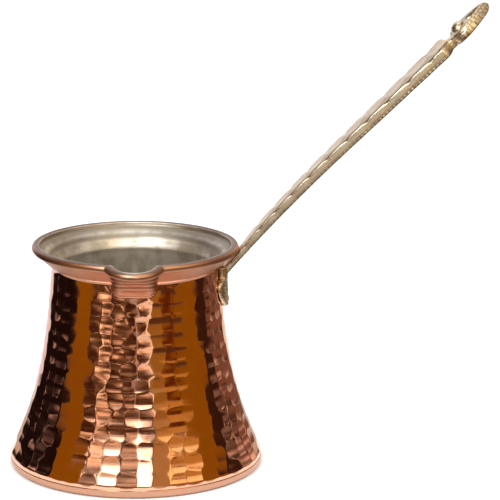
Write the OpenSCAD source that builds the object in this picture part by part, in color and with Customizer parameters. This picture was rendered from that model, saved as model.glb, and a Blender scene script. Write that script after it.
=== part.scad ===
// Hammered copper coffee pot with a tin lining and a long riveted brass handle.
// Millimetres. The origin is the middle of the base, +Z is up, the handle points
// along +X and the spout along -Y.

/* [Pot] */
// Height of the rim above the table
pot_height = 80; // [78:1:84]
// Diameter of the base
base_d = 90; // [84:1:94]
// Diameter of the neck, outside
neck_d = 59.2; // [58:0.2:61]
// Diameter over the rim bead
rim_d = 73; // [72:0.5:76]
// Share of the flare that is a straight taper, the rest being a cubic curve
straight_share = 0.37; // [0.2:0.01:0.6]
// Thickness of the copper wall
wall = 1.3; // [1:0.1:1.6]
// Thickness of the copper base
base_thick = 1.6; // [1.2:0.1:2.4]
// Thickness of the tin lining
tin_thick = 0.25; // [0.2:0.05:0.35]

/* [Spout] */
// How far the spout reaches out past the rim bead
spout_reach = 6.5; // [5:0.5:8]
// Radius of the spout at the rim
spout_r = 8.4; // [7.8:0.1:9.4]
// Radius of the rounded corners of the spout's toe, on the neck
toe_r = 3.4; // [3:0.1:4]
// Half the distance between those two corners
toe_half = 4.1; // [3:0.1:4.6]
// How far the toe stands out from the neck
toe_reach = 2.2; // [1.6:0.1:3]
// How far the rim dips in the middle of the spout
spout_dip = 1; // [0:0.1:1.5]

/* [Handle] */
// Length of the bar, from the elbow to the neck of the finial
bar_length = 111.4; // [95:0.2:125]
// Slope of the bar at the rim, in degrees
rise_start = 49.5; // [48:0.5:54]
// Slope of the bar at its far end, in degrees
rise_end = 44.2; // [40:0.2:47]
// Width of the bar at the elbow
root_width = 7.4; // [6.4:0.2:8]
// Width of the bar at its shoulder
shoulder_width = 16.4; // [13:0.2:17]
// Thickness of the bar where it passes the rim
root_thick = 2.5; // [2:0.1:2.8]
// Thickness of the bar at its shoulder
shoulder_thick = 4.6; // [3.8:0.1:5]
// Length of the leaf finial
finial_length = 19.6; // [18.4:0.2:22]
// Width of the leaf finial
finial_width = 15.6; // [13:0.2:16.4]
// Thickness of the leaf finial
finial_thick = 3.8; // [3.2:0.1:4.2]
// Slope of the finial above the bar's, in degrees
finial_lift = 3; // [0:0.5:6]
// Radius of the round end of the hanging eye
eye_r = 2.1; // [1.8:0.1:2.4]
// Radius of the round boss at the foot of the finial
boss_r = 2.8; // [2.2:0.1:2.9]

/* [Rivets] */
// Radius of a rivet's shank
shank_r = 1.23; // [1.1:0.01:1.3]
// Radial clearance of a shank in its hole
shank_gap = 0.02; // [0.01:0.01:0.05]
// Radius of the low head inside the pot
inner_head_r = 2.2; // [1.9:0.1:2.4]
// Radius of the peened head on the tang
outer_head_r = 1.6; // [1.5:0.1:1.8]

/* [Hidden] */
$fn = 96;

copper = [0.78, 0.43, 0.28];
tin = [0.72, 0.72, 0.66];
brass = [0.86, 0.76, 0.50];

// Curves

function arc(centre, r, from, to, steps) = [
    for (i = [0:steps])
        let (a = from + (to - from) * i / steps)
        centre + r * [cos(a), sin(a)]
];

function reversed(path) = [for (i = [len(path) - 1:-1:0]) path[i]];

function left_of(a, b) = [a[1] - b[1], b[0] - a[0]] / norm(b - a);

// A path moved to its left by a distance
function moved(path, distance) = [
    for (i = [0:len(path) - 1])
        let (before = path[max(i - 1, 0)], after = path[min(i + 1, len(path) - 1)])
        path[i] + distance * left_of(before, after)
];

function share(value, from, to) = min(1, max(0, (value - from) / (to - from)));

// Wall of the pot, as radius and height

base_r = base_d / 2;
neck_r = neck_d / 2;
edge_r = 1.6;
wall_foot = 4.4;
wall_top = pot_height - 7.5;
neck_foot = pot_height - 15;
bend_start = pot_height - 8.8;
wall_steps = 12;

function flare(z) = (wall_top - z) / (wall_top - wall_foot);

function wall_r(z) = neck_r + (base_r - neck_r)
    * (straight_share * flare(z) + (1 - straight_share) * pow(flare(z), 3));

// How fast the wall closes in with height
function wall_slope(z) = (base_r - neck_r) / (wall_top - wall_foot)
    * (straight_share + 3 * (1 - straight_share) * pow(flare(z), 2));

// Radius of the wall at a depth below its outer face
function inside_r(z, depth) = wall_r(z) - depth * sqrt(1 + pow(wall_slope(z), 2));

// Rim: a bend out of the neck, a straight flare, and a round bead

bead_r = 1.4;
bead = [rim_d / 2 - bead_r, pot_height - bead_r];
bend_r = 2.5;
bend_turn = 48;
bend = [wall_r(bend_start) + bend_r, bend_start];
rim_shoulder = bead + [-0.6, 1.3];
bend_steps = 4;
bead_steps = 7;

// Inside the rim: a wider bend, a step, and a cove up to the edge
inner_bend = bead + [0.84, -7.99];
inner_bend_r = 7.4;
cove = bead + [-2.85, 0.9];
cove_r = 1.9;
rim_inside = concat(
    arc(inner_bend, inner_bend_r, 162, 124, bend_steps),
    arc(cove, cove_r, -78, -2, bead_steps),
    [bead + [-0.88, 1.1]]
);

rim_outside = concat(
    arc(bend, bend_r, 174, 180 - bend_turn, bend_steps),
    arc(bead, bead_r, -85, 90, bead_steps),
    [rim_shoulder]
);

// The pot has three faces: the copper's outside, the copper's inside under the tin,
// and the tin's inside. Each runs from the base to the rim.

OUTSIDE = 0;
UNDER_TIN = 1;
INSIDE = 2;

function skin_of(face) = face == INSIDE ? tin_thick : 0;

function depth_of(face) = face == OUTSIDE ? 0 : wall + skin_of(face);

// Height of the face at the middle of the base
function floor_of(face) = face == OUTSIDE ? 0 : base_thick + skin_of(face);

corner_r = 3;
corner_lean = 27;
corner_steps = 5;
corner_top = base_thick + corner_r * (1 + sin(corner_lean));
corner = [inside_r(corner_top, wall) - corner_r * cos(corner_lean), base_thick + corner_r];
inside_foot = corner_top + 2;
inside_bend_start = pot_height - 8;

function foot(face) = face == OUTSIDE
    ? arc([base_r - edge_r, edge_r], edge_r, -90, 0, corner_steps)
    : arc(corner, corner_r - skin_of(face), -90, corner_lean, corner_steps);

function flared_wall(face) =
    let (from = face == OUTSIDE ? wall_foot : inside_foot)
    [
        for (i = [0:wall_steps - 1])
            let (z = from + (neck_foot - from) * i / wall_steps)
            [inside_r(z, depth_of(face)), z]
    ];

// The neck is a straight taper
function neck(face) = [
    for (z = [neck_foot, face == OUTSIDE ? bend_start : inside_bend_start])
        [inside_r(z, depth_of(face)), z]
];

function rim(face) = face == OUTSIDE ? rim_outside : moved(rim_inside, skin_of(face));

function face_path(face) = concat(foot(face), flared_wall(face), neck(face), rim(face));

// Spout: a gutter from a blunt toe on the neck to a ring at the rim

ring_y = -(rim_d / 2 - bead_r + spout_reach - spout_r);
toe_z = pot_height - 8.9;
toe_y = toe_r - toe_reach - wall_r(toe_z);
disc_height = 0.2;
ring_ledge = 0.1;
spout_fn = 32;
clear_above = 5;

// Tilts its children so that the front of the spout's ring dips
module at_spout_ring() {
    translate([0, ring_y, bead[1]])
        rotate([asin(spout_dip / spout_r), 0, 0])
            children();
}

// The gutter's solid at a depth below its outside
module gutter(depth) {
    hull() {
        for (side = [-1, 1])
            translate([side * toe_half, toe_y, toe_z]) sphere(toe_r - depth, $fn = spout_fn);
        at_spout_ring()
            cylinder(r = spout_r - depth - ring_ledge, h = disc_height, $fn = spout_fn);
    }
}

module spout_bead() {
    at_spout_ring() rotate_extrude() translate([spout_r, 0]) circle(bead_r);
}

// The pot and its gutter as one solid, filled up to a face and to a flat top that is
// some way above the edge of that face
module filled_pot(face, above) {
    path = face_path(face);
    edge = path[len(path) - 1];
    rotate_extrude()
        polygon(concat(
            [[0, floor_of(face)]],
            path,
            [[edge[0], edge[1] + above], [0, edge[1] + above]]
        ));
    gutter(depth_of(face));
    if (face == OUTSIDE)
        spout_bead();
    else
        at_spout_ring()
            cylinder(r = spout_r - depth_of(face), h = edge[1] + above - bead[1]);
}

// Rivets: two in the shoulders of the tang and one near its tip

shoulder_y = 4.6;
shoulder_z = pot_height - 15.7;
tip_rivet_z = pot_height - 20.2;
shoulder_azimuth = asin(shoulder_y / wall_r(shoulder_z));
hole_r = shank_r + shank_gap;
hole_reach = 8;
inner_head_height = 0.8;
outer_head_height = 0.7;
seat_gap = 0.02;
// The flat seat of an inner head stands clear of the round wall by this much
inner_seat_gap = pow(inner_head_r, 2) / neck_d + 2 * seat_gap;
shoulder_seat = 2;
tip_seat = 1.8;
seat_play = 0.1;

module at_rivet(azimuth, z) {
    rotate([0, 0, azimuth])
        translate([wall_r(z), 0, z])
            rotate([0, 90 - atan(wall_slope(z)), 0])
                children();
}

module at_each_rivet() {
    for (side = [-1, 1])
        at_rivet(side * shoulder_azimuth, shoulder_z) children();
    at_rivet(0, tip_rivet_z) children();
}

module rivet_holes() {
    at_each_rivet() cylinder(r = hole_r, h = hole_reach, center = true);
}

module dome(r, height) {
    ball_r = (r * r + height * height) / (2 * height);
    intersection() {
        translate([0, 0, height - ball_r]) sphere(ball_r);
        cylinder(r = r, h = height);
    }
}

// A rivet whose local +Z points out of the pot, from the wall's outer face
module rivet(seat) {
    bottom = -(wall + tin_thick + inner_seat_gap);
    top = seat + seat_gap;
    translate([0, 0, bottom]) cylinder(r = shank_r, h = top - bottom);
    translate([0, 0, top]) dome(outer_head_r, outer_head_height);
    translate([0, 0, bottom]) mirror([0, 0, 1]) dome(inner_head_r, inner_head_height);
}

// Tang: a shield with a round foot that lies on the wall, with a neck up to the elbow.
// Its outline is drawn as across and height, and its face is part of a tall drum.

tang_foot = [0, pot_height - 13.8];
tang_foot_r = 9;
tang_shoulder_r = 3.4;
tang_side_angle = -18;
tang_shoulder = tang_foot
    + (tang_foot_r - tang_shoulder_r) * [cos(tang_side_angle), sin(tang_side_angle)];
tang_shoulder_turn = 70;
tang_foot_steps = 12;
tang_shoulder_steps = 8;
tang_neck_half = 5;
tang_neck_foot = pot_height - 11.2;
tang_neck_top = pot_height - 8.8;
tang_face_x = neck_r + 3.3;
tang_face_z = pot_height - 15;
tang_crown_r = 15;
tang_lean = 2;
tang_gap = 0.02;

tang_half = concat(
    arc(tang_foot, tang_foot_r, -90, tang_side_angle, tang_foot_steps),
    arc(tang_shoulder, tang_shoulder_r, tang_side_angle, tang_shoulder_turn, tang_shoulder_steps),
    [[tang_neck_half, tang_neck_foot], [tang_neck_half, tang_neck_top]]
);
tang_other_half = [for (p = reversed(tang_half)) [-p[0], p[1]]];

module pot_outline_solid(gap) {
    rotate_extrude()
        polygon(concat(
            moved(concat([[0, 0]], face_path(OUTSIDE)), -gap),
            [[0, pot_height]]
        ));
}

module tang() {
    difference() {
        intersection() {
            rotate([90, 0, 90]) linear_extrude(rim_d) polygon(concat(tang_half, tang_other_half));
            translate([tang_face_x - tang_crown_r, 0, tang_face_z])
                rotate([0, -tang_lean, 0])
                    cylinder(r = tang_crown_r, h = pot_height, center = true);
        }
        pot_outline_solid(tang_gap);
        for (side = [-1, 1])
            at_rivet(side * shoulder_azimuth, shoulder_z) rivet_seat(shoulder_seat);
        at_rivet(0, tip_rivet_z) rivet_seat(tip_seat);
    }
}

module rivet_seat(seat) {
    translate([0, 0, seat]) cylinder(r = outer_head_r + seat_play, h = hole_reach);
}

// Bar: it runs past the rim bead, bows over its first stretch, and is then straight.
// Its underside is the curve, s is the length along it, and up is square to it.

bow_length = 60;
root_run = 8.2;
rim_gap = 0.1;
bow_r = bow_length / (rise_start - rise_end) * 180 / PI;
bar_root = bead
    + (bead_r + rim_gap + root_thick) * [sin(rise_start), -cos(rise_start)]
    - root_run * [cos(rise_start), sin(rise_start)];
bar_buried = 1.2;
thin_run = 10;
thick_growth = 0.4;
shoulder_round = 3.4;
neck_width = 5;
bar_steps = 88;
leaf_pitch_start = 7.4;
leaf_pitch_end = 11;
leaf_depth = 0.015;

function rise(s) = rise_start - (rise_start - rise_end) * min(s, bow_length) / bow_length;

function underside(s) =
    let (a = rise(s), straight = max(0, s - bow_length))
    bar_root
    + bow_r * [sin(rise_start) - sin(a), cos(a) - cos(rise_start)]
    + straight * [cos(rise_end), sin(rise_end)];

function bar_thick(s) =
    root_thick + (shoulder_thick - root_thick) * pow(share(s, thin_run, bar_length), thick_growth);

// The edge swells and narrows like a chain of leaves that grow longer towards the end
function leaf_edge(s) =
    let (growth = (leaf_pitch_end - leaf_pitch_start) / bar_length)
    1 + leaf_depth * cos(360 * ln(1 + growth * max(s, 0) / leaf_pitch_start) / growth);

function shoulder_fall(s) =
    let (into = share(s, bar_length - shoulder_round, bar_length))
    sqrt(1 - (1 - pow(neck_width / shoulder_width, 2)) * pow(into, 2));

function bar_width(s) =
    (root_width + (shoulder_width - root_width) * max(s, 0) / bar_length)
    * leaf_edge(s) * shoulder_fall(s);

// Points round the bar, as a share of its width and of its thickness
bar_section = [
    [-0.36, 0], [0.36, 0], [0.5, 0.3], [0.5, 0.62], [0.38, 0.9],
    [0, 1], [-0.38, 0.9], [-0.5, 0.62], [-0.5, 0.3]
];

module bar() {
    ring = len(bar_section);
    points = [
        for (i = [0:bar_steps])
            let (
                s = -bar_buried + (bar_length + bar_buried) * i / bar_steps,
                foot = underside(s),
                a = rise(s)
            )
            for (p = bar_section)
                let (up = p[1] * bar_thick(s))
                [foot[0] - up * sin(a), p[0] * bar_width(s), foot[1] + up * cos(a)]
    ];
    sides = [
        for (i = [0:bar_steps - 1], k = [0:ring - 1])
            let (
                here = i * ring + k,
                next = i * ring + (k + 1) % ring,
                beyond = here + ring,
                next_beyond = next + ring
            )
            each [[here, next_beyond, next], [here, beyond, next_beyond]]
    ];
    first_cap = [for (k = [0:ring - 1]) k];
    last_cap = [for (k = [ring - 1:-1:0]) bar_steps * ring + k];
    polyhedron(points, concat(sides, [first_cap, last_cap]), convexity = 4);
}

// Finial: a flat leaf, widest near its foot, with a round boss and a pear-shaped
// hanging eye

finial_neck = 3;
finial_low = 0.2;
leaf_start = 1.5;
leaf_length = finial_length - leaf_start;
leaf_steps = 16;
leaf_tip_half = 0.9;
boss_s = 6.4;
boss_height = 1.9;
eye_s = 11.8;
eye_slot_half = 1.3;
eye_tip_half = 0.6;
eye_length = 4.6;

leaf_lean = 0.55;
leaf_fullness = 0.65;
leaf_point = 0.25;

function leaf_half(t) =
    finial_width / 2 * pow(sin(180 * pow(t, leaf_lean)), leaf_fullness + leaf_point * t);

leaf_side = [
    for (i = [1:leaf_steps - 1])
        let (t = i / leaf_steps)
        [leaf_start + leaf_length * t, leaf_half(t)]
];
leaf_other_side = [for (p = reversed(leaf_side)) [p[0], -p[1]]];

module on_bar_end() {
    foot = underside(bar_length);
    translate([foot[0], 0, foot[1]]) rotate([0, -rise_end - finial_lift, 0]) children();
}

module finial_outline() {
    polygon(concat(
        [[leaf_start, 0]],
        leaf_side,
        [[finial_length, leaf_tip_half], [finial_length, -leaf_tip_half]],
        leaf_other_side
    ));
    translate([-finial_neck, -neck_width / 2]) square([2 * finial_neck + leaf_start, neck_width]);
}

module hanging_eye() {
    reach = 2 * shoulder_thick;
    cylinder(r = eye_r, h = reach, center = true);
    linear_extrude(reach, center = true)
        polygon([
            [0, -eye_slot_half],
            [eye_length - eye_tip_half, -eye_tip_half],
            [eye_length, 0],
            [eye_length - eye_tip_half, eye_tip_half],
            [0, eye_slot_half]
        ]);
}

module finial() {
    on_bar_end() {
        difference() {
            translate([0, 0, finial_low]) linear_extrude(finial_thick) finial_outline();
            translate([eye_s, 0, 0]) hanging_eye();
        }
        translate([boss_s, 0, finial_low + finial_thick]) dome(boss_r, boss_height);
    }
}

// The pieces

module copper_body() {
    color(copper)
        difference() {
            filled_pot(OUTSIDE, 0);
            filled_pot(UNDER_TIN, clear_above);
            rivet_holes();
        }
}

module tin_lining() {
    color(tin)
        difference() {
            filled_pot(UNDER_TIN, 0);
            filled_pot(INSIDE, clear_above);
            rivet_holes();
        }
}

module brass_handle() {
    color(brass)
        difference() {
            union() {
                tang();
                bar();
                finial();
            }
            rivet_holes();
        }
}

module rivet_left() {
    color(brass) at_rivet(shoulder_azimuth, shoulder_z) rivet(shoulder_seat);
}

module rivet_right() {
    color(brass) at_rivet(-shoulder_azimuth, shoulder_z) rivet(shoulder_seat);
}

module rivet_lower() {
    color(brass) at_rivet(0, tip_rivet_z) rivet(tip_seat);
}

copper_body();
tin_lining();
brass_handle();
rivet_left();
rivet_right();
rivet_lower();
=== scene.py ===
import math

import bmesh
import bpy
import numpy as np
from mathutils import Matrix, Vector


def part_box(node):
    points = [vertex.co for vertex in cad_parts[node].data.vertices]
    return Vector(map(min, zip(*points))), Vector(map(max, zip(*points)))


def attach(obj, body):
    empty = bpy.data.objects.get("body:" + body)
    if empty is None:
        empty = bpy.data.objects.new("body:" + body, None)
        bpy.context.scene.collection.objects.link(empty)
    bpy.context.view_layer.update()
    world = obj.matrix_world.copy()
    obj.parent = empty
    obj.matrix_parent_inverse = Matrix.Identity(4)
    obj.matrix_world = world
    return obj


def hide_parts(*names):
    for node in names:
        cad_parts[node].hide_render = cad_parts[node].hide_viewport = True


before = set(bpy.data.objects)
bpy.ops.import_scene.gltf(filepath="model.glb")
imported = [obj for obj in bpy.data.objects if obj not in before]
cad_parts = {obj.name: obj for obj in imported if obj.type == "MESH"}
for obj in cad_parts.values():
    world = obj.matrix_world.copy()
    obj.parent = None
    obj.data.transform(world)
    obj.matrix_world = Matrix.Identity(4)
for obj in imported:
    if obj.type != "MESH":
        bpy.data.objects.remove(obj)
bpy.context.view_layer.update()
MM = 0.001
TURN = 2 * math.pi


# ---------------------------------------------------------------- sizes, in millimetres
# They repeat the CAD part's own dimensions. HEIGHT and BASE_R drive the rest, and come from its box.

_, pot_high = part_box("copper_body")
HEIGHT = pot_high.z / MM
BASE_R = pot_high.x / MM
NECK_R = 29.6
RIM_R = 36.5
WALL = 1.3
TIN = 0.25
BASE_THICK = 1.6
STRAIGHT_SHARE = 0.37
EDGE_R = 1.6
WALL_FOOT = 4.4
WALL_TOP = HEIGHT - 7.5
BEND_START = HEIGHT - 8.8
BEND_R = 2.5
BEAD_R = 1.4
BEAD = np.array([RIM_R - BEAD_R, HEIGHT - BEAD_R])
BAND_TOP = 2.9
BAND_STEP = 0.12
BAND_ROUND = 0.12
UNDER_RECESS = 0.35
UNDER_RECESS_R = 37.5
FOOT_R = 38.6
FLOOR_CORNER_R = 3.0
FLOOR_CORNER_LEAN = 27.0
FLOOR_ZONE_R = 20.0
BEAD_ZONE = 3.4

# From the bead's centre: the arcs of the rim's inside, each with its radius, angles and steps, and
# the points where the copper and the tin end on the rim
RIM_ARCS = [((0.84, -7.99), 7.4, 162, 124, 9), ((-2.85, 0.9), 1.9, -78, -2, 12)]
COPPER_END = (-0.6, 1.3)
TIN_END = (-0.88, 1.1)
TIN_EDGE_ANGLE = 64.0

SPOUT_R = 8.4
SPOUT_REACH = 6.5
SPOUT_DIP = 1.0
SPOUT_FILLET = 2.2
GROOVE_PITCH = 1.75
GROOVE_DEPTH = 0.34
TOE_R = 3.4
TOE_HALF = 4.1
TOE_REACH = 2.2
TOE_Z = HEIGHT - 8.9
RING_Y = RIM_R - BEAD_R + SPOUT_REACH - SPOUT_R


# ---------------------------------------------------------------- small helpers

def smoothstep(x, low, high):
    t = np.clip((np.asarray(x, float) - low) / (high - low), 0, 1)
    return t * t * (3 - 2 * t)


def smooth_max(a, b, width):
    near = np.maximum(width - np.abs(a - b), 0) / width
    return np.maximum(a, b) + near * near * width / 4


def smooth_min(a, b, width):
    return -smooth_max(-a, -b, width)


def arc(centre, radius, start, end, steps):
    """Points on an arc, in degrees."""
    angles = np.radians(np.linspace(start, end, steps + 1))
    return np.stack([centre[0] + radius * np.cos(angles), centre[1] + radius * np.sin(angles)], 1)


def straight(a, b, steps):
    return np.linspace(a, b, steps + 1)


def chain(*paths):
    """Joins paths of (radius, height) and drops points that repeat."""
    points = np.concatenate([np.asarray(p, float) for p in paths])
    step = np.linalg.norm(np.diff(points, axis=0), axis=1)
    return points[np.concatenate([[True], step > 1e-3])]


def moved(path, distance):
    """A path moved to its left."""
    along = np.gradient(path, axis=0)
    along /= np.linalg.norm(along, axis=1)[:, None]
    return path + distance * np.stack([-along[:, 1], along[:, 0]], 1)


def mesh_object(name, points, faces, attributes=None):
    """A smooth-shaded object from points in millimetres."""
    mesh = bpy.data.meshes.new(name)
    mesh.from_pydata((np.asarray(points) * MM).tolist(), [], faces)
    shell = bmesh.new()
    shell.from_mesh(mesh)
    bmesh.ops.recalc_face_normals(shell, faces=shell.faces)
    shell.to_mesh(mesh)
    shell.free()
    mesh.update()
    mesh.polygons.foreach_set("use_smooth", [True] * len(mesh.polygons))
    for key, values in (attributes or {}).items():
        layer = mesh.attributes.new(key, "FLOAT", "POINT")
        layer.data.foreach_set("value", np.asarray(values, float).ravel())
    made = bpy.data.objects.new(name, mesh)
    bpy.context.scene.collection.objects.link(made)
    return made


def grid_faces(rows, columns, start=0):
    """Quads of a grid that closes on itself along its columns."""
    i, k = np.meshgrid(np.arange(rows - 1), np.arange(columns), indexing="ij")
    here = start + i * columns + k
    beside = start + i * columns + (k + 1) % columns
    return np.stack([here, beside, beside + columns, here + columns], -1).reshape(-1, 4).tolist()


def turned_object(name, rows, attributes=None):
    """A closed object from rows of points round the axis; each end row closes on a point."""
    count, columns, _ = rows.shape
    points = rows.reshape(-1, 3)
    poles = [rows[0].mean(0), rows[-1].mean(0)]
    first, last = len(points), len(points) + 1
    faces = grid_faces(count, columns)
    faces += [[first, (k + 1) % columns, k] for k in range(columns)]
    base = (count - 1) * columns
    faces += [[last, base + k, base + (k + 1) % columns] for k in range(columns)]
    values = {}
    for key, grid in (attributes or {}).items():
        values[key] = np.concatenate([grid.ravel(), [grid[0].mean(), grid[-1].mean()]])
    return mesh_object(name, np.concatenate([points, poles]), faces, values)


# ---------------------------------------------------------------- the pot's outline

def flare(z):
    """How far down the wall a height is, from 0 at the neck to 1 at the foot."""
    return (WALL_TOP - z) / (WALL_TOP - WALL_FOOT)


def wall_r(z):
    """The wall's outer radius: part straight cone, part cubic flare."""
    share = STRAIGHT_SHARE * flare(z) + (1 - STRAIGHT_SHARE) * flare(z) ** 3
    return NECK_R + (BASE_R - NECK_R) * share


def wall_slope(z):
    """How fast the wall's radius grows downward."""
    share = STRAIGHT_SHARE + 3 * (1 - STRAIGHT_SHARE) * flare(z) ** 2
    return (BASE_R - NECK_R) / (WALL_TOP - WALL_FOOT) * share


def inside_r(z, depth):
    """The radius of a skin that lies a depth inside the wall's face."""
    return wall_r(z) - depth * np.sqrt(1 + wall_slope(z) ** 2)


def outside_path():
    """From the middle of the base, up the wall and over the rim."""
    heights = np.linspace(WALL_FOOT, BEND_START, 134)
    radii = wall_r(heights) - BAND_STEP * (1 - smoothstep(heights, WALL_FOOT, 14))
    bend = arc((wall_r(BEND_START) + BEND_R, BEND_START), BEND_R, 174, 132, 8)
    bead = arc(BEAD, BEAD_R, -88, 90, 20)
    return chain(
        straight((3, UNDER_RECESS), (UNDER_RECESS_R, UNDER_RECESS), 9),
        straight((FOOT_R, 0), (BASE_R - EDGE_R, 0), 3),
        arc((BASE_R - EDGE_R, EDGE_R), EDGE_R, -85, 0, 7),
        straight((BASE_R, EDGE_R + 0.3), (BASE_R, BAND_TOP - BAND_ROUND), 4),
        arc((BASE_R - BAND_ROUND, BAND_TOP - BAND_ROUND), BAND_ROUND, 20, 85, 3),
        [(BASE_R - BAND_STEP - BAND_ROUND, BAND_TOP + 0.1)],
        straight((BASE_R - BAND_STEP, BAND_TOP + 0.3), (BASE_R - BAND_STEP, WALL_FOOT - 0.4), 3),
        np.stack([radii, heights], 1),
        bend,
        straight(bend[-1], bead[0], 18),
        bead,
        [BEAD + COPPER_END],
    )


def rim_inside():
    """The inside of the flare and the lip, up to where the tin ends."""
    arcs = [arc(BEAD + centre, *rest) for centre, *rest in RIM_ARCS]
    return chain(*arcs, [BEAD + TIN_END])


def inside_path(skin, floor_steps, wall_steps):
    """From the middle of the floor to the rim's edge. skin is the tin's thickness, or 0 under it."""
    depth = WALL + skin
    lean = math.radians(FLOOR_CORNER_LEAN)
    top = BASE_THICK + FLOOR_CORNER_R * (1 + math.sin(lean))
    corner = (inside_r(top, WALL) - FLOOR_CORNER_R * math.cos(lean), BASE_THICK + FLOOR_CORNER_R)
    heights = np.linspace(top + 2, HEIGHT - 8, wall_steps)
    return chain(
        straight((1.5, BASE_THICK + skin), (corner[0] - 1, BASE_THICK + skin), floor_steps),
        arc(corner, FLOOR_CORNER_R - skin, -90, FLOOR_CORNER_LEAN, 8),
        np.stack([inside_r(heights, depth), heights], 1),
        moved(rim_inside(), skin),
    )


def circle_reach(angle, centre, radius, side=0.0):
    """How far from the axis a ray meets a circle whose centre is out along -Y; 0 where it misses."""
    along = side * np.sin(angle) + centre * np.cos(angle)
    across = side * np.cos(angle) - centre * np.sin(angle)
    inner = radius ** 2 - across ** 2
    return np.where((inner > 0) & (along > 0), along + np.sqrt(np.maximum(inner, 0)), 0)


def gutter_reach(angle, z, depth):
    """Reach of the spout's gutter at a height: a blunt toe on the neck widening to the rim's ring.

    The gutter is a ball swept from the toe to the ring, and each step cuts its slice at the height.
    """
    toe_centre = wall_r(TOE_Z) + TOE_REACH - TOE_R
    toe = TOE_R - depth
    ring = SPOUT_R - depth
    if z > BEAD[1]:
        return circle_reach(angle, RING_Y, ring)
    best = np.zeros_like(angle)
    for t in np.linspace(0, 0.97, 49):
        lift = ((z - t * BEAD[1]) / (1 - t) - TOE_Z) / toe
        if abs(lift) >= 1:
            continue
        radius = (1 - t) * toe * math.sqrt(1 - lift * lift) + t * ring
        centre = (1 - t) * toe_centre + t * RING_Y
        for side in np.linspace(-TOE_HALF, TOE_HALF, 13) * (1 - t):
            best = np.maximum(best, circle_reach(angle, centre, radius, side))
    return best


def spout_grooves(z):
    """The grooves that the press leaves across the spout, as a share of their depth."""
    inside = smoothstep(z, TOE_Z - 1.5, TOE_Z) * (1 - smoothstep(z, BEAD[1] - 2.0, BEAD[1] - 1.2))
    return inside * (0.5 - 0.5 * np.cos(TURN * (z - TOE_Z) / GROOVE_PITCH)) ** 2


def swung(path, columns, depth):
    """Rows of points round the axis for a path of (radius, height), with the spout pressed in.

    Also gives each point's share of the spout, and each column's angle.
    """
    azimuth = np.linspace(0, TURN, columns, endpoint=False)
    angle = (azimuth + math.pi) % TURN - math.pi
    rows = np.empty((len(path), columns, 3))
    share = np.zeros((len(path), columns))
    for i, (radius, z) in enumerate(path):
        reach = np.zeros(columns)
        if z > TOE_Z - TOE_R and radius > FLOOR_ZONE_R:
            reach = gutter_reach(angle, z, depth)
        if z > HEIGHT - BEAD_ZONE and radius > NECK_R:
            reach = np.maximum(reach, circle_reach(angle, RING_Y, SPOUT_R + radius - BEAD[0]))
        plan = np.where(reach > 0, smooth_max(radius, reach, SPOUT_FILLET), radius)
        share[i] = smoothstep(plan - radius, 0, 0.4)
        plan = plan - share[i] * GROOVE_DEPTH * spout_grooves(z)
        rows[i, :, 0] = plan * np.sin(angle)
        rows[i, :, 1] = -plan * np.cos(angle)
        out = np.maximum(-rows[i, :, 1] - RING_Y, 0) * smoothstep(z, TOE_Z - 2, BEAD[1] - 1)
        rows[i, :, 2] = z - SPOUT_DIP * out / SPOUT_R * smoothstep(out, 0, 3)
    return rows, share, angle


# ---------------------------------------------------------------- hammer marks

MARK_COLUMNS = 44
MARK_ROWS = 13
MARK_FOOT = BAND_TOP + 0.4
MARK_TOP = HEIGHT - 9.2
MARK_DEPTH = 0.17
MARK_CUP_ACROSS = 42.0
MARK_CUP_ALONG = 23.0
MARK_CREST = 0.02
RIDGE_DEPTH = 0.16


def hammer_depth(angle, z):
    """How deep the hammered facets lie below the wall's face, for a grid of angles and heights.

    Each mark is a shallow cup, a little out of its place in a regular grid. Where cups meet, the
    deeper one wins, which leaves a crest between them.
    """
    draw = np.random.RandomState(11)
    shape = (MARK_ROWS + 2, MARK_COLUMNS)
    shift_u = draw.normal(0, 0.08, shape) + np.cumsum(draw.normal(0, 0.10, (MARK_ROWS + 2, 1)), 0)
    shift_v = draw.normal(0, 0.06, shape)
    deep = MARK_DEPTH + draw.normal(0, 0.025, shape)
    lean_u = draw.normal(0, 0.016, shape)
    lean_v = draw.normal(0, 0.014, shape)
    pitch_v = (MARK_TOP - MARK_FOOT) / MARK_ROWS
    u = (angle / TURN + 1) * MARK_COLUMNS
    v = (z - MARK_FOOT) / pitch_v + 1
    pitch_u = TURN * wall_r(z) / MARK_COLUMNS
    column, row = np.floor(u).astype(int), np.floor(v).astype(int)
    face = np.full(np.broadcast(u, v).shape, 9.0)
    for row_step in (-1, 0, 1):
        j = np.clip(row + row_step, 0, MARK_ROWS + 1)
        for column_step in (-1, 0, 1):
            i = column + column_step
            pick = (j, i % MARK_COLUMNS)
            across = (u - (i + 0.5 + shift_u[pick])) * pitch_u
            along = (v - (j + 0.5 + shift_v[pick])) * pitch_v
            cup = across ** 2 / (2 * MARK_CUP_ACROSS) + along ** 2 / (2 * MARK_CUP_ALONG)
            cup = cup + lean_u[pick] * across + lean_v[pick] * along
            face = smooth_min(face, cup - deep[pick], MARK_CREST)
    fade = smoothstep(z, MARK_FOOT - 0.3, MARK_FOOT + 1.2)
    fade = fade * (1 - smoothstep(z, MARK_TOP - 1, MARK_TOP + 1.6))
    return np.maximum(-face, 0) * fade


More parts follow.
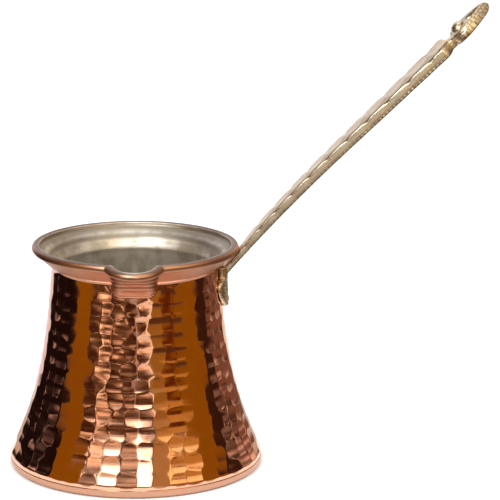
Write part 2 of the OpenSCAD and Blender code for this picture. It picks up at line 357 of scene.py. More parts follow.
def copper_pot(columns=704):
    """The copper sheet, hammered outside, with attributes that its material reads."""
    path = outside_path()
    outer_rows = len(path)
    under = inside_path(0, 6, 12)[::-1]
    outer, share, angle = swung(path, columns, 0)
    inner, _, _ = swung(under, columns, WALL)
    heights = np.repeat(path[:, 1:], columns, 1)
    wall = (path[:, 1] > MARK_FOOT - 0.5) & (path[:, 1] < MARK_TOP + 2) & (path[:, 0] < BASE_R)
    depth = np.where(wall[:, None], hammer_depth(np.repeat(angle[None], outer_rows, 0), heights), 0)
    depth *= 1 - share
    tilt = np.arctan(wall_slope(heights))
    plan = np.linalg.norm(outer[:, :, :2], axis=2)
    outer[:, :, :2] *= (1 - depth * np.cos(tilt) / np.maximum(plan, 1))[:, :, None]
    outer[:, :, 2] -= depth * np.sin(tilt)
    rows = np.concatenate([outer, inner])
    # Where the wall is polished; the satin rest is painted darker as shade, besides its real satin
    # finish.
    polish_and_satin_shade = np.zeros(rows.shape[:2])
    polish_and_satin_shade[:outer_rows] = wall[:, None] * (1 - share)
    ridge = np.zeros(rows.shape[:2])
    ridge[:outer_rows] = np.where(wall[:, None], np.clip(1 - depth / RIDGE_DEPTH, 0, 1), 0)
    tinned = np.zeros(rows.shape[:2])
    crest = BEAD[1] + BEAD_R * math.sin(math.radians(TIN_EDGE_ANGLE))
    tinned[:outer_rows] = smoothstep(path[:, 1:], crest - 0.05, crest + 0.01)
    # Painted shade: the copper's colour is darkened in the spout's grooves.
    groove_shade = np.zeros(rows.shape[:2])
    groove_shade[:outer_rows] = share * spout_grooves(path[:, 1:])
    attributes = {"polish_and_satin_shade": polish_and_satin_shade, "ridge": ridge, "tinned": tinned, "groove_shade": groove_shade}
    return turned_object("copper_pot", rows, attributes)


RIPPLE_DEPTH = 0.035
RIPPLE_PITCH = 2.6

# Distances below the rim, from the wall up, and how much painted shade darkens the tin there, in bands
TIN_SHADE_BANDS = [
    (9.2, 0), (8.6, 0), (5.4, 0), (4.8, 0.9), (3.9, 0.8), (3.6, 0.25), (2.9, 0.25), (2.1, 1), (0.8, 0.9),
    (0.5, 0),
]


def tin_inside(columns=352):
    """The lining: its face with the ripples of spinning, and a hidden back against the copper."""
    skin = inside_path(TIN, 30, 74)
    heights = skin[:, 1]
    spun = smoothstep(heights, 8, 14) * (1 - smoothstep(heights, 66, 71))
    ripple = RIPPLE_DEPTH * np.sin(TURN * heights / RIPPLE_PITCH) * spun
    skin = skin - np.stack([ripple, np.zeros_like(ripple)], 1)
    back = moved(inside_path(0, 6, 12), 0.05)[::-1]
    face, _, _ = swung(skin, columns, WALL + TIN)
    hidden, _, _ = swung(back, columns, WALL + 0.05)
    rows = np.concatenate([face, hidden])
    # Painted shade in bands on the lining's face.
    tin_shade = np.zeros(rows.shape[:2])
    below, amount = np.array(TIN_SHADE_BANDS).T
    tin_shade[:len(skin)] = np.interp(heights, HEIGHT - below, amount)[:, None]
    return turned_object("tin_inside", rows[::-1], {"tin_shade": tin_shade[::-1]})


# ---------------------------------------------------------------- the cast handle

BAR_LENGTH = 111.4
RISE_START, RISE_END, BOW_LENGTH = 49.5, 44.2, 60.0
ROOT_WIDTH, SHOULDER_WIDTH, NECK_WIDTH = 7.4, 16.4, 5.0
ROOT_THICK, SHOULDER_THICK, THIN_RUN, THICK_GROWTH = 2.5, 4.6, 10.0, 0.4
SHOULDER_ROUND = 3.4
ROOT_RUN, RIM_GAP = 8.2, 0.1
LEAF_START, LEAF_END, LEAF_DEPTH = 7.4, 11.0, 0.012
LEAF_HEIGHT, RIB_DEPTH, VEIN_DEPTH = 0.30, 0.22, 0.06
LEAF_JOINT, WAIST_SHARE, TOP_SHARE = 0.13, 0.22, 0.88
BEAD_PITCH, BEAD_BULGE = 1.7, 0.022

# Up the bar's side: share of the half-width, share of the thickness, how much the beads stand
# out, how much the worn arris drops, and how dark the brass is
BAR_SIDE = [
    (0.80, 0.0, 0.3, 0, 1.2),
    (0.92, 0.02, 1.0, 0, 1.2),
    (0.968, 0.07, 1.0, 0, 1.15),
    (0.978, 0.14, 0.8, 0, 1.0),
    (0.966, 0.20, 0.2, 0, 0.75),
    (0.975, 0.26, 0, 0, 0.2),
    (0.979, 0.36, 0, 0, 0),
    (0.982, 0.50, 0, 0.1, 0),
    (0.984, 0.64, 0, 0.3, 0),
    (0.98, 0.76, 0, 0.6, 0),
    (0.967, 0.85, 0, 0.85, 0.2),
    (0.935, 0.91, 0, 1, 0.9),
]

# Round the section of the finial's loop, from its inner lower edge: share of its breadth, share
# of its thickness, and how much painted shade darkens the brass there
FINIAL_SIDE = [
    (0.08, 0.00, 0.3), (0.30, 0.00, 0.2), (0.60, 0.00, 0.2), (0.88, 0.00, 0.5), (0.955, 0.03, 0.7),
    (0.985, 0.10, 0.4), (0.995, 0.22, 0.1), (1.00, 0.36, 0.0), (1.00, 0.50, 0.0), (0.99, 0.60, 0.0),
    (0.97, 0.66, 0.3), (0.93, 0.68, 0.9), (0.90, 0.69, 1.0), (0.89, 0.77, 1.0), (0.88, 0.87, 0.7),
    (0.85, 0.94, 0.2), (0.78, 0.98, 0.0), (0.64, 1.00, 0.0), (0.50, 1.00, 0.0), (0.36, 0.98, 0.0),
    (0.22, 0.93, 0.0), (0.10, 0.84, 0.2), (0.02, 0.66, 0.7), (0.00, 0.35, 0.9), (0.02, 0.08, 0.8),
]

FINIAL_LENGTH, FINIAL_WIDTH, FINIAL_THICK, FINIAL_FOOT = 19.6, 15.6, 3.8, 1.5
FINIAL_LIFT, FINIAL_LOW = 3.0, 0.2
FINIAL_TIP, FINIAL_MIDDLE = 16.4, 0.55
BOSS_S, BOSS_R, BOSS_HEIGHT, BOSS_SUNK = 6.4, 2.8, 1.9, 0.9
MOAT_WIDTH, MOAT_DEPTH = 0.4, 0.10
EYE_S, EYE_R, EYE_LENGTH, EYE_TURN = 11.8, 2.1, 4.6, 0.79

TANG_FOOT_Z, TANG_FOOT_R, TANG_SHOULDER_R, TANG_SIDE = HEIGHT - 13.8, 9.0, 3.4, math.radians(-18)
TANG_NECK_HALF, TANG_NECK_Z = 5.0, HEIGHT - 11.8
TANG_DRUM_R, TANG_LEAN = 15.0, 2.0
TANG_EDGE_ROUND, TANG_EDGE_SHARE, TANG_FIELD_DEPTH = 1.1, 0.45, 0.10
TANG_FACE = (NECK_R + 3.3, HEIGHT - 15)
RIVETS = [(-4.6, HEIGHT - 15.7, 2.0), (4.6, HEIGHT - 15.7, 2.0), (0.0, HEIGHT - 20.2, 1.8)]
RIVET_SEAT_R = 1.72


def rise(s):
    return np.radians(RISE_START - (RISE_START - RISE_END) * np.minimum(s, BOW_LENGTH) / BOW_LENGTH)


def underside(s):
    """Points (x, z) along the bar's underside."""
    start, a = math.radians(RISE_START), rise(s)
    bow_r = BOW_LENGTH / math.radians(RISE_START - RISE_END)
    across = np.array([math.sin(start), -math.cos(start)])
    forward = np.array([math.cos(start), math.sin(start)])
    root = BEAD + (BEAD_R + RIM_GAP + ROOT_THICK) * across - ROOT_RUN * forward
    beyond = np.maximum(0, s - BOW_LENGTH)
    x = root[0] + bow_r * (math.sin(start) - np.sin(a)) + beyond * math.cos(math.radians(RISE_END))
    z = root[1] + bow_r * (np.cos(a) - math.cos(start)) + beyond * math.sin(math.radians(RISE_END))
    return x, z


def leaves_along(s):
    """How many leaves of the chain lie before s: they grow longer towards the end."""
    growth = (LEAF_END - LEAF_START) / BAR_LENGTH
    return np.log(1 + growth * np.maximum(s, 0) / LEAF_START) / growth


def bar_top(thick, along, joint, plain):
    """The bar's top: shares of the half-width, heights and darkness, with leaves in relief."""
    top_u = np.linspace(TOP_SHARE, -TOP_SHARE, 37)[None]
    outline = 0.14 + 0.70 * np.sin(np.pi * along ** 0.85) ** 0.75
    inside = np.clip(1 - (np.abs(top_u) / outline) ** 2, 0, 1)
    raised = inside ** 0.45
    rib_run = smoothstep(along, 0.10, 0.2) * (1 - smoothstep(along, 0.80, 0.95))
    rib = np.exp(-(top_u / 0.07) ** 2) * rib_run
    veins = np.abs(np.sin(np.pi * (5 * along + 2.2 * np.abs(top_u))))
    scale = thick / SHOULDER_THICK * (1 - plain)
    relief = LEAF_HEIGHT * raised - RIB_DEPTH * rib * (raised > 0.2) - VEIN_DEPTH * (1 - veins) * inside
    relief = relief * scale
    crown = 0.94 + 0.05 * (1 - top_u ** 2)
    edge_drop = 0.10 * joint * np.abs(top_u) ** 3
    top_h = (crown - edge_drop) * thick - LEAF_HEIGHT * scale + relief
    patina_and_shade = np.clip((1 - raised) * 0.55 + rib * 0.7, 0, 1) * (1 - plain)
    patina_and_shade = np.maximum(patina_and_shade, smoothstep(np.abs(top_u), 0.76, 0.84))
    return top_u + 0 * thick, top_h, patina_and_shade


def bar_side(s, thick, joint, plain):
    """One side of the bar, from its lower edge up: shares of the half-width, heights and darkness."""
    bead = 0.5 + 0.5 * np.cos(TURN * s / BEAD_PITCH)
    bulge = BEAD_BULGE * bead * (1 - plain)
    share, height, beaded, worn, dark = np.array(BAR_SIDE).T
    side_u = share[None] + bulge * beaded
    drop = (0.03 + 0.12 * joint) * worn
    side_h = (height[None] - drop) * thick
    patina_and_shade = dark[None] + 0.5 * joint * worn
    return side_u, side_h, patina_and_shade - 0.7 * bead * beaded


def bar_rows():
    """Rings of points along the bar: its flat underside, then a side, its top and the other side."""
    s = np.linspace(-1.2, BAR_LENGTH + 3.2, 500)[:, None]
    into = np.clip((s - BAR_LENGTH + SHOULDER_ROUND) / SHOULDER_ROUND, 0, 1)
    count = leaves_along(s)
    swell = 1 + LEAF_DEPTH * np.cos(TURN * count)
    half = (ROOT_WIDTH + (SHOULDER_WIDTH - ROOT_WIDTH) * np.clip(s, 0, BAR_LENGTH) / BAR_LENGTH) / 2
    half = half * swell * np.sqrt(1 - (1 - (NECK_WIDTH / SHOULDER_WIDTH) ** 2) * into ** 2)
    grown = np.clip((s - THIN_RUN) / (BAR_LENGTH - THIN_RUN), 0, 1) ** THICK_GROWTH
    thick = ROOT_THICK + (SHOULDER_THICK - ROOT_THICK) * grown
    thick = thick * (1 - WAIST_SHARE * smoothstep(s, BAR_LENGTH - 1.5, BAR_LENGTH + 1))
    along = (count + 0.5) % 1
    joint = np.exp(-(((along + 0.5) % 1 - 0.5) / LEAF_JOINT) ** 2)
    plain = smoothstep(s, BAR_LENGTH - 5, BAR_LENGTH - 3)

    top_u, top_h, top_recess = bar_top(thick, along, joint, plain)
    side_u, side_h, side_recess = bar_side(s, thick, joint, plain)
    flat_u = np.linspace(-0.72, 0.72, 9)[None] + 0 * s
    u = np.concatenate([flat_u, side_u, top_u, -side_u[:, ::-1]], 1)
    h = np.concatenate([0 * flat_u, side_h, top_h, side_h[:, ::-1]], 1)
    # The flat underside is a little darker: painted shade.
    patina_and_shade = np.concatenate([0 * flat_u + 0.15, side_recess, top_recess, side_recess[:, ::-1]], 1)
    x, z = underside(s)
    a = rise(s)
    points = np.stack([x - h * np.sin(a), u * half, z + h * np.cos(a)], -1)
    return points, np.clip(patina_and_shade, 0, 1)


def on_bar_end(s, y, h):
    """Points given along, across and above the finial's slope, from the end of the bar's underside."""
    x, z = underside(np.array(BAR_LENGTH))
    a = math.radians(RISE_END + FINIAL_LIFT)
    point_x = x + s * math.cos(a) - h * math.sin(a)
    point_z = z + s * math.sin(a) + h * math.cos(a)
    return np.stack([point_x, y + 0 * s, point_z], -1)


def leaf_outline(t):
    """Half the finial's outline, from its foot to its tip."""
    spread = (0.5 - 0.5 * np.cos(np.pi * t)) ** 1.1
    s = FINIAL_FOOT + (FINIAL_LENGTH - FINIAL_FOOT) * spread
    leaf = np.sin(np.pi * spread ** 0.55).clip(0)
    return np.stack([s, FINIAL_WIDTH / 2 * leaf ** (0.65 + 0.25 * spread)], 1)


def eye_outline(t):
    """Half the hanging eye's outline: most of a circle, then a point towards the tip."""
    turned = np.pi * np.clip(2 * t, 0, 1) * EYE_TURN
    beyond = np.clip(2 * t - 1, 0, 1)
    join_s = EYE_S - EYE_R * math.cos(np.pi * EYE_TURN)
    join_y = EYE_R * math.sin(np.pi * EYE_TURN)
    point_s = join_s + (EYE_S + EYE_LENGTH - join_s) * beyond
    point_y = join_y * (1 - beyond ** 3) ** 0.8 * (1 - 0.45 * beyond)
    s = np.where(t < 0.5, EYE_S - EYE_R * np.cos(turned), point_s)
    y = np.where(t < 0.5, EYE_R * np.sin(turned), point_y)
    return np.stack([s, y], 1)


def mirrored(outline):
    """A whole outline from its half on one side of the middle."""
    return np.concatenate([outline[:-1], (outline * (1, -1))[:0:-1]])


def finial_rows():
    """Rings of points round the eye: a leaf-shaped loop with a grooved side and a soft face."""
    t = np.linspace(0, 1, 91)
    outer, inner = mirrored(leaf_outline(t)), mirrored(eye_outline(t))
    across, height, patina_and_shade = np.array(FINIAL_SIDE).T
    flat = inner[:, None] + (outer - inner)[:, None] * across[None, :, None]
    s, y = flat[..., 0], flat[..., 1]
    lift = np.repeat(height[None], len(flat), 0)
    from_boss = np.hypot(s - BOSS_S, y) - BOSS_R - 0.3
    moat = np.exp(-(from_boss / MOAT_WIDTH) ** 2) * (lift > 0.9)
    face = 1 - MOAT_DEPTH * moat
    # Painted shade on the finial: along its side's groove and edges, round the boss and on the tip, with
    # the side wall left light as if lit.
    finial_shade = np.repeat(patina_and_shade[None], len(flat), 0) + 0.8 * moat + 0.9 * smoothstep(s, 17.2, 18.8)
    beyond = np.clip((s - FINIAL_TIP) / (FINIAL_LENGTH - FINIAL_TIP), 0, 1)
    end = np.sqrt(1 - 0.97 * beyond ** 2.4)
    h = FINIAL_LOW + FINIAL_THICK * (FINIAL_MIDDLE + (lift * face - FINIAL_MIDDLE) * end)
    return on_bar_end(s, y, h), np.clip(finial_shade, 0, 1)


def boss_rows():
    """Rings of points of the round boss at the finial's foot, sunk a little into its face."""
    turn = np.linspace(0.03, np.pi - 0.03, 20)[:, None]
    round_it = np.linspace(0, TURN, 40, endpoint=False)[None]
    s = BOSS_S + BOSS_R * np.sin(turn) * np.cos(round_it)
    y = BOSS_R * np.sin(turn) * np.sin(round_it)
    foot = FINIAL_LOW + FINIAL_THICK - BOSS_SUNK
    h = foot + (BOSS_HEIGHT + BOSS_SUNK) * np.cos(turn) + 0 * round_it
    return on_bar_end(s, y, h), 0 * s


def tang_half(z):
    """Half the width of the tang's shield at a height."""
    apart = TANG_FOOT_R - TANG_SHOULDER_R
    shoulder_y, shoulder_z = apart * math.cos(TANG_SIDE), TANG_FOOT_Z + apart * math.sin(TANG_SIDE)
    foot = np.sqrt(np.maximum(TANG_FOOT_R ** 2 - (z - TANG_FOOT_Z) ** 2, 0))
    shoulder = shoulder_y + np.sqrt(np.maximum(TANG_SHOULDER_R ** 2 - (z - shoulder_z) ** 2, 0))
    half = np.where(z < TANG_FOOT_Z + TANG_FOOT_R * math.sin(TANG_SIDE), foot, shoulder)
    into_neck = smoothstep(z, TANG_NECK_Z - 1.0, TANG_NECK_Z + 0.8)
    return half * (1 - into_neck) + TANG_NECK_HALF * into_neck


def tang_rows():
    """Rings of points up the tang: its face, and its back against the wall."""
    foot = TANG_FOOT_Z - TANG_FOOT_R
    z = foot + (HEIGHT - 8.2 - foot) * np.linspace(0.006, 1, 90) ** 1.6
    half = tang_half(z)[:, None]
    u = np.linspace(-1, 1, 61)[None]
    y = u * half
    height = z[:, None] + 0 * u
    back = np.sqrt(wall_r(height) ** 2 - y ** 2) + 0.02
    lean = math.tan(math.radians(TANG_LEAN))
    drum_axis = TANG_FACE[0] - TANG_DRUM_R - (height - TANG_FACE[1]) * lean
    drum = drum_axis + np.sqrt(TANG_DRUM_R ** 2 - y ** 2)
    inside_foot = TANG_FOOT_R - np.hypot(y, np.minimum(height - TANG_FOOT_Z, 0))
    border = np.maximum(np.minimum((1 - np.abs(u)) * half, inside_foot), 0)
    field = smoothstep(border, 0.7, 1.4) * (1 - smoothstep(height, TANG_NECK_Z - 1.5, TANG_NECK_Z))
    round_edge = np.sqrt(1 - (1 - np.clip(border / TANG_EDGE_ROUND, 0, 1)) ** 2)
    edge = TANG_EDGE_SHARE + (1 - TANG_EDGE_SHARE) * round_edge
    face = back + (drum - back) * edge - TANG_FIELD_DEPTH * field
    patina_and_shade = 0.3 * field * (1 - smoothstep(border, 1.2, 2.0))
    for side, up, seat in RIVETS:
        apart = np.hypot(y - side, height - up)
        sunk = 1 - smoothstep(apart, RIVET_SEAT_R - 0.12, RIVET_SEAT_R + 0.12)
        level = back + seat * np.sqrt(1 + wall_slope(height) ** 2)
        face = face * (1 - sunk) + np.minimum(face, level) * sunk
        patina_and_shade = np.maximum(patina_and_shade, 0.8 * sunk)
    front = np.stack([face, y, height], -1)
    rear = np.stack([back, y, height], -1)
    points = np.concatenate([front, rear[:, ::-1]], 1)
    return points, np.concatenate([patina_and_shade, 0 * patina_and_shade + 0.3], 1)


def handle_cast():
    """The bar, its finial with a boss, and its tang as one casting."""
    rows, patina_and_shade = finial_rows()
    count, columns, _ = rows.shape
    faces = (np.array(grid_faces(count + 1, columns)) % (count * columns)).tolist()
    finial = mesh_object("finial", rows.reshape(-1, 3), faces, {"patina_and_shade": patina_and_shade})
    turned = [("bar", bar_rows()), ("tang", tang_rows()), ("boss", boss_rows())]
    bar, *others = [turned_object(name, rows, {"patina_and_shade": patina_and_shade}) for name, (rows, patina_and_shade) in turned]
    return joined("handle_cast", [bar, finial, *others])


def joined(name, parts):
    """One object from several closed shells, united where they overlap."""
    body = parts[0]
    for part in parts[1:]:
        union = body.modifiers.new("union", "BOOLEAN")
        union.operation = "UNION"
        union.solver = "EXACT"
        union.object = part
        graph = bpy.context.evaluated_depsgraph_get()
        mesh = bpy.data.meshes.new_from_object(body.evaluated_get(graph))
        body.modifiers.clear()
        body.data = mesh
        bpy.data.objects.remove(part)
    body.name = name
    body.data.name = name
    return body


# ---------------------------------------------------------------- materials

class Shader:
    """A material's node tree, with short calls for the nodes that are used here."""

    def __init__(self, name):
        self.material = bpy.data.materials.new(name)
        self.material.use_nodes = True
        self.tree = self.material.node_tree
        self.surface = self.tree.nodes["Principled BSDF"]
        self.place = self.node("ShaderNodeTexCoord").outputs["Object"]

    def node(self, kind, **settings):
        made = self.tree.nodes.new(kind)
        for key, value in settings.items():
            setattr(made, key, value)
        return made

    def link(self, source, target):
        if isinstance(source, (int, float)):
            target.default_value = source
        else:
            self.tree.links.new(source, target)

    def math(self, operation, a, b=0.0):
        made = self.node("ShaderNodeMath", operation=operation)
        self.link(a, made.inputs[0])
        self.link(b, made.inputs[1])
        return made.outputs[0]

    def noise(self, scale, detail, place=None):
        made = self.node("ShaderNodeTexNoise")
        made.inputs["Scale"].default_value = scale
        made.inputs["Detail"].default_value = detail
        self.link(place or self.place, made.inputs["Vector"])
        return made.outputs["Fac"]

    def stretched(self, x, y, z):
        made = self.node("ShaderNodeVectorMath", operation="MULTIPLY")
        self.link(self.place, made.inputs[0])
        made.inputs[1].default_value = (x, y, z)
        return made.outputs[0]

    def round_axis(self):
        """(distance from the axis, height): whatever is drawn on this runs round the pot."""
        apart = self.node("ShaderNodeSeparateXYZ")
        self.link(self.place, apart.inputs[0])
        square = self.math("ADD", self.math("MULTIPLY", apart.outputs[0], apart.outputs[0]),
                           self.math("MULTIPLY", apart.outputs[1], apart.outputs[1]))
        together = self.node("ShaderNodeCombineXYZ")
        self.link(self.math("SQRT", square), together.inputs[0])
        self.link(apart.outputs[2], together.inputs[2])
        return together.outputs[0]

    def attribute(self, name):
        return self.node("ShaderNodeAttribute", attribute_name=name).outputs["Fac"]

    def ranged(self, value, low, high, to_low, to_high):
        made = self.node("ShaderNodeMapRange")
        self.link(value, made.inputs[0])
        for socket, number in zip(made.inputs[1:5], (low, high, to_low, to_high)):
            self.link(number, socket)
        return made.outputs[0]

    def mixed(self, amount, a, b):
        """A colour between a and b; each is a socket or a colour."""
        made = self.node("ShaderNodeMix", data_type="RGBA")
        self.link(amount, made.inputs[0])
        for value, socket in ((a, made.inputs[6]), (b, made.inputs[7])):
            if isinstance(value, tuple):
                socket.default_value = (*value, 1)
            else:
                self.tree.links.new(value, socket)
        return made.outputs[2]

    def bump(self, height, distance, strength, after=None):
        made = self.node("ShaderNodeBump")
        made.inputs["Distance"].default_value = distance
        made.inputs["Strength"].default_value = strength
        self.link(height, made.inputs["Height"])
        if after:
            self.link(after, made.inputs["Normal"])
        return made.outputs["Normal"]

    def finish(self, colour, roughness, normal):
        """The metal, from its colour, roughness and normal."""
        self.surface.inputs["Metallic"].default_value = 1.0
        self.tree.links.new(colour, self.surface.inputs["Base Color"])
        self.link(roughness, self.surface.inputs["Roughness"])
        self.link(normal, self.surface.inputs["Normal"])
        return self.material


def copper_material():
    """Polished on the hammered wall; satin and finely turned on the base band, flare and bead, whose
    darker satin colour is painted shade.
    """
    s = Shader("hammered_copper")
    polish_and_satin_shade = s.attribute("polish_and_satin_shade")
    ridge = s.attribute("ridge")
    cloud = s.noise(60, 4)
    tone = s.mixed(s.ranged(cloud, 0.35, 0.65, 0, 1), (0.93, 0.50, 0.32), (0.90, 0.44, 0.27))
    tone = s.mixed(s.ranged(s.noise(240, 2), 0.5, 0.75, 0, 0.35), tone, (0.86, 0.40, 0.26))
    tone = s.mixed(s.math("MULTIPLY", ridge, 0.25), tone, (0.96, 0.58, 0.42))
    # The satin parts get a darker copper colour: painted shade, over their real satin finish.
    tone = s.mixed(polish_and_satin_shade, (0.62, 0.35, 0.235), tone)
    # Painted shade in the spout's grooves.
    tone = s.mixed(s.math("MULTIPLY", s.attribute("groove_shade"), 0.8), tone, (0.30, 0.13, 0.07))
    tone = s.mixed(s.attribute("tinned"), tone, (0.24, 0.22, 0.20))
    lines = s.noise(2600, 2, s.round_axis())
    steps = s.noise(800, 1, s.round_axis())
    satin = s.ranged(lines, 0.3, 0.7, 0.30, 0.42)
    bright = s.ranged(s.noise(180, 5), 0.3, 0.7, 0.05, 0.11)
    blend = s.node("ShaderNodeMix", data_type="FLOAT")
    s.link(polish_and_satin_shade, blend.inputs[0])
    s.link(satin, blend.inputs[2])
    s.link(bright, blend.inputs[3])
    coarse = s.math("MULTIPLY", steps, s.math("SUBTRACT", 1.0, polish_and_satin_shade))
    relief = s.math("ADD", s.math("MULTIPLY", lines, 0.2), coarse)
    turned = s.bump(relief, 0.0001, 0.5)
    planished = s.bump(s.noise(700, 3), 0.00002, 0.25, turned)
    return s.finish(tone, blend.outputs[0], planished)


def tin_material():
    """Wiped tin: cloudy, warm grey, with the fine rings of spinning."""
    s = Shader("wiped_tin")
    rings = s.noise(1500, 2, s.round_axis())
    broad = s.noise(320, 2, s.round_axis())
    cloud = s.noise(130, 5)
    streak = s.noise(260, 3, s.stretched(1, 1, 0.16))
    tone = s.mixed(s.ranged(cloud, 0.40, 0.60, 0, 1), (0.86, 0.82, 0.76), (0.53, 0.49, 0.41))
    tone = s.mixed(s.ranged(streak, 0.50, 0.70, 0, 0.5), tone, (0.97, 0.94, 0.88))
    tone = s.mixed(s.ranged(broad, 0.45, 0.7, 0, 0.4), tone, (0.84, 0.80, 0.73))
    # Painted shade: dark bands and lighter rings down the lining below the rim.
    tone = s.mixed(s.attribute("tin_shade"), tone, (0.36, 0.32, 0.25))
    rough = s.math("ADD", s.ranged(rings, 0.3, 0.7, 0.34, 0.44), s.ranged(cloud, 0.3, 0.7, 0.0, 0.14))
    relief = s.bump(broad, 0.0003, 0.5)
    relief = s.bump(rings, 0.00005, 0.5, relief)
    return s.finish(tone, rough, relief)


def brass_material(name, has_patina_and_shade):
    """Cast brass, clouded, and darker where the mesh's attribute says: patina in its hollows, and
    painted shade on the finial and under the bar.
    """
    s = Shader(name)
    cloud = s.noise(160, 4)
    tone = s.mixed(s.ranged(cloud, 0.35, 0.7, 0, 1), (0.95, 0.89, 0.73), (0.91, 0.82, 0.62))
    if has_patina_and_shade:
        # Patina in the hollows; painted shade on the finial and on the bar's underside.
        tone = s.mixed(s.attribute("patina_and_shade"), tone, (0.38, 0.29, 0.17))
    grain = s.noise(1400, 4)
    rough = s.ranged(grain, 0.3, 0.7, 0.24, 0.40)
    return s.finish(tone, rough, s.bump(grain, 0.00005, 0.4))


def room_material():
    """Light of the colour that the room's mesh holds at each point."""
    material = bpy.data.materials.new("room_light")
    material.use_nodes = True
    tree = material.node_tree
    tree.nodes.remove(tree.nodes["Principled BSDF"])
    glow = tree.nodes.new("ShaderNodeEmission")
    tint = tree.nodes.new("ShaderNodeAttribute")
    tint.attribute_name = "tint"
    tree.links.new(tint.outputs["Color"], glow.inputs["Color"])
    tree.links.new(glow.outputs[0], tree.nodes["Material Output"].inputs["Surface"])
    return material


# ---------------------------------------------------------------- stage, light and camera

# The room that the polished metal mirrors: panels round the pot, each from one azimuth to
# another (0 is the front), from one elevation to another, in degrees, and of one linear colour.
# Later rows lie over earlier ones; the clutter lies over the first ones, and under the rest.
AMBER = (0.265, 0.112, 0.004)
WHITE = (3.6, 3.5, 3.3)
ROOM = [
    (-180, 180, -60, 90, (0.26, 0.17, 0.11)),
    (-57, 60, -60, -7, (0.10, 0.045, 0.015)),
    (-57, 20, -7, 90, (0.20, 0.11, 0.055)),
    (-57, 20, 14, 45, (0.32, 0.27, 0.23)),
    (20, 34, -7, 90, (0.33, 0.17, 0.03)),
    (20, 34, 9, 90, (0.46, 0.30, 0.12)),
    (34, 87, -7, 90, AMBER),
    (60, 87, -60, 90, AMBER),
    (30, 60, 5, 90, (0.55, 0.30, 0.07)),
    (30, 60, 17, 90, (1.4, 1.08, 0.54)),
    (-158, -83, -60, 90, (0.012, 0.006, 0.006)),
    (-158, -138, 18, 50, (0.20, 0.09, 0.02)),
    (-83, -56, -60, 90, AMBER),
    (87, 106, -60, 90, (0.04, 0.016, 0.009)),
    (106, 160, -60, 90, (0.20, 0.10, 0.07)),
    (146, 180, -60, 90, (0.95, 0.78, 0.62)),
    (-180, -140, -60, 90, (0.9, 0.84, 0.88)),
    (0.4, 3.6, -8, 20, (0.50, 0.44, 0.42)),
    (-32, -18, 16, 60, (0.9, 0.85, 0.8)),
    (-35, -17, 21, 50, WHITE),
    (-2, 12, 14, 48, WHITE),
    (2, 14, -13.5, -7, (1.0, 0.95, 0.88)),
    (13.5, 21, -7, 6, (1.15, 1.04, 0.87)),
    (-180, 180, 76, 90, (0.6, 0.58, 0.54)),
    (-180, 180, -60, -27, (0.62, 0.53, 0.47)),
]
PANELS_UNDER_CLUTTER = 17
PANEL_EDGE = 2.0
SPOT_EDGE = 0.6
ROOM_R = 0.55
ROOM_EYE = 0.06
ROOM_LOW, ROOM_HIGH = -45, 84
FLOOR_GAP = 1.0

# Zones with many small things in them: azimuths, elevations, how many, how rare the light ones
# are, and the darkest and lightest of them
CLUTTER = [
    (-57, 20, -14, 14, 330, 9, (0.05, 0.015, 0.006), (2.8, 2.1, 1.5)),
    (-57, 20, 12, 60, 380, 4, (0.012, 0.004, 0.002), (2.2, 1.8, 1.55)),
    (36, 57, -12, 60, 44, 4, (0.10, 0.018, 0.003), (0.17, 0.04, 0.006)),
    (98, 160, -12, 60, 220, 4, (0.01, 0.004, 0.002), (1.3, 1.0, 0.85)),
    (-146, -90, -12, 60, 200, 6, (0.006, 0.002, 0.002), (1.7, 1.3, 1.3)),
    (-180, -142, -12, 60, 130, 2, (0.16, 0.09, 0.06), (1.8, 1.6, 1.6)),
    (150, 180, -12, 60, 110, 2, (0.16, 0.08, 0.05), (1.6, 1.3, 1.1)),
]


def laid_over(colour, azimuth, elevation, panel, edge):
    """The colours with one panel over them; its edges are as soft as edge says."""
    left, right, low, high, tint = panel
    cover = smoothstep(azimuth, left - edge, left + edge) if left > -180 else np.ones_like(azimuth)
    if right < 180:
        cover = cover * (1 - smoothstep(azimuth, right - edge, right + edge))
    cover = cover * smoothstep(elevation, low - edge, low + edge)
    cover = cover * (1 - smoothstep(elevation, high - edge, high + edge))
    return colour + (np.array(tint) - colour) * cover[..., None]


def room_colour(azimuth, elevation):
    """The colours of the room, for a grid of directions from the pot."""
    colour = np.zeros((*azimuth.shape, 3))
    draw = np.random.RandomState(5)
    for panel in ROOM[:PANELS_UNDER_CLUTTER]:
        colour = laid_over(colour, azimuth, elevation, panel, PANEL_EDGE)
    for left, right, low, high, count, rarity, dark, light in CLUTTER:
        for _ in range(count):
            middle, base = draw.uniform(left + 2, right - 2), draw.uniform(low, high)
            wide, tall = draw.uniform(0.4, 2.0), draw.uniform(1.5, 7)
            blend = draw.uniform(0, 1) ** rarity
            tint = np.array(dark) * (1 - blend) + np.array(light) * blend
            spot = (middle - wide, middle + wide, base, base + tall, tint)
            colour = laid_over(colour, azimuth, elevation, spot, SPOT_EDGE)
    for panel in ROOM[PANELS_UNDER_CLUTTER:]:
        colour = laid_over(colour, azimuth, elevation, panel, PANEL_EDGE)
    return colour


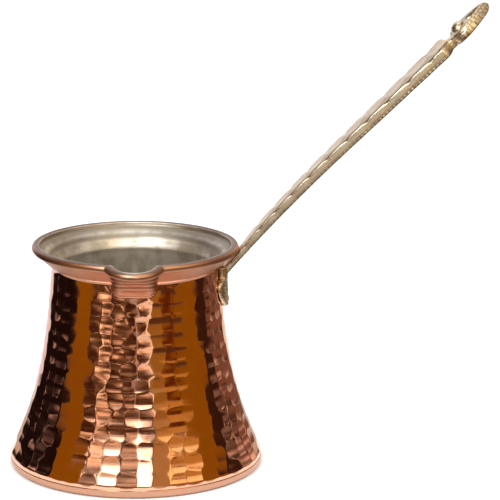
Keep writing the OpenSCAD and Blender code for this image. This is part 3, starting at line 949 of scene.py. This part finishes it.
def mirrored_room():
    """A dome that only reflections see."""
    columns, rows = 720, 120
    round_it = np.linspace(-180, 180, columns, endpoint=False)
    azimuth, elevation = np.meshgrid(round_it, np.linspace(ROOM_LOW, ROOM_HIGH, rows))
    a, e = np.radians(azimuth), np.radians(elevation)
    to_floor = -ROOM_EYE / np.minimum(np.sin(e), -1e-6)
    reach = np.minimum(ROOM_R, to_floor) / MM
    x = reach * np.sin(a) * np.cos(e)
    y = -reach * np.cos(a) * np.cos(e)
    z = ROOM_EYE / MM + reach * np.sin(e) + FLOOR_GAP
    points = np.stack([x, y, z], -1)
    room = mesh_object("room", points.reshape(-1, 3), grid_faces(rows, columns))
    colour = np.ones((rows, columns, 4))
    colour[..., :3] = room_colour(azimuth, elevation)
    layer = room.data.attributes.new("tint", "FLOAT_COLOR", "POINT")
    layer.data.foreach_set("color", colour.ravel())
    room.data.materials.append(room_material())
    room.visible_camera = False
    room.visible_diffuse = False
    room.visible_shadow = False
    room.visible_transmission = False
    room.visible_volume_scatter = False


def make_floor():
    """A wide pale floor, a hair below the pot."""
    side, drop = 40000, 0.02
    corners = [(-side, -side), (side, -side), (side, side), (-side, side)]
    floor = mesh_object("floor", [(x, y, -drop) for x, y in corners], [[0, 1, 2, 3]])
    material = bpy.data.materials.new("pale_floor")
    material.use_nodes = True
    surface = material.node_tree.nodes["Principled BSDF"]
    surface.inputs["Base Color"].default_value = (0.92, 0.92, 0.92, 1)
    surface.inputs["Roughness"].default_value = 0.9
    surface.inputs["Specular IOR Level"].default_value = 0.1
    floor.data.materials.append(material)


LIT_POINT = (0, 0, 0.05)


def area_light(name, place, size, power):
    """A round soft lamp that points at the pot."""
    data = bpy.data.lights.new(name, "AREA")
    data.shape = "DISK"
    data.size = size
    data.energy = power
    lamp = bpy.data.objects.new(name, data)
    lamp.location = place
    lamp.rotation_euler = (Vector(LIT_POINT) - Vector(place)).to_track_quat("-Z", "Y").to_euler()
    bpy.context.scene.collection.objects.link(lamp)


def make_lights():
    """White light from all round, and three soft lamps over it."""
    world = bpy.data.worlds.new("studio")
    world.use_nodes = True
    background = world.node_tree.nodes["Background"]
    background.inputs["Color"].default_value = (1, 1, 1, 1)
    background.inputs["Strength"].default_value = 1.0
    bpy.context.scene.world = world
    area_light("key", (-0.5, -0.9, 1.1), 0.5, 9)
    area_light("fill", (0.9, -0.6, 0.9), 0.7, 5)
    area_light("overhead", (0.1, 0.3, 1.2), 0.6, 3)
    bpy.context.scene.view_settings.view_transform = "Standard"


CAMERA_AZIMUTH = -1.9
CAMERA_ELEVATION = 13.34
CAMERA_ROLL = 0.394
CAMERA_DISTANCE = 0.9
CAMERA_TARGET = (0.0405, 0.0, 0.0773)
CAMERA_LENS = 183.1


def make_camera():
    """A long lens at the photo's angle, with a slight roll."""
    a, e, roll = (math.radians(x) for x in (CAMERA_AZIMUTH, CAMERA_ELEVATION, CAMERA_ROLL))
    back = Vector((math.sin(a) * math.cos(e), -math.cos(a) * math.cos(e), math.sin(e)))
    right = (-back).cross(Vector((0, 0, 1))).normalized()
    up = right.cross(-back)
    level_right = right * math.cos(roll) + up * math.sin(roll)
    level_up = up * math.cos(roll) - right * math.sin(roll)
    data = bpy.data.cameras.new("camera")
    data.lens = CAMERA_LENS
    data.sensor_width = 36
    data.clip_start = 0.01
    data.clip_end = 200
    camera = bpy.data.objects.new("camera", data)
    place = Vector(CAMERA_TARGET) + back * CAMERA_DISTANCE
    turn = Matrix((level_right, level_up, back)).transposed()
    camera.matrix_world = Matrix.Translation(place) @ turn.to_4x4()
    bpy.context.scene.collection.objects.link(camera)
    bpy.context.scene.camera = camera


# ---------------------------------------------------------------- putting it together

def dress(piece, material, slot, *nodes):
    """Gives a piece its material, hangs it on the root body, and hides the CAD parts that it stands in
    for.
    """
    piece.data.materials.clear()
    piece.data.materials.append(material)
    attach(piece, "root")
    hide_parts(*nodes)


make_camera()
make_lights()
make_floor()
mirrored_room()
dress(copper_pot(), copper_material(), "copper", "copper_body")
dress(tin_inside(), tin_material(), "tin", "tin_lining")
dress(handle_cast(), brass_material("cast_brass", has_patina_and_shade=True), "brass", "brass_handle")

rivet_material = brass_material("rivet_brass", has_patina_and_shade=False)
for node in ("rivet_left", "rivet_right", "rivet_lower"):
    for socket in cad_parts[node].material_slots:
        socket.material = rivet_material
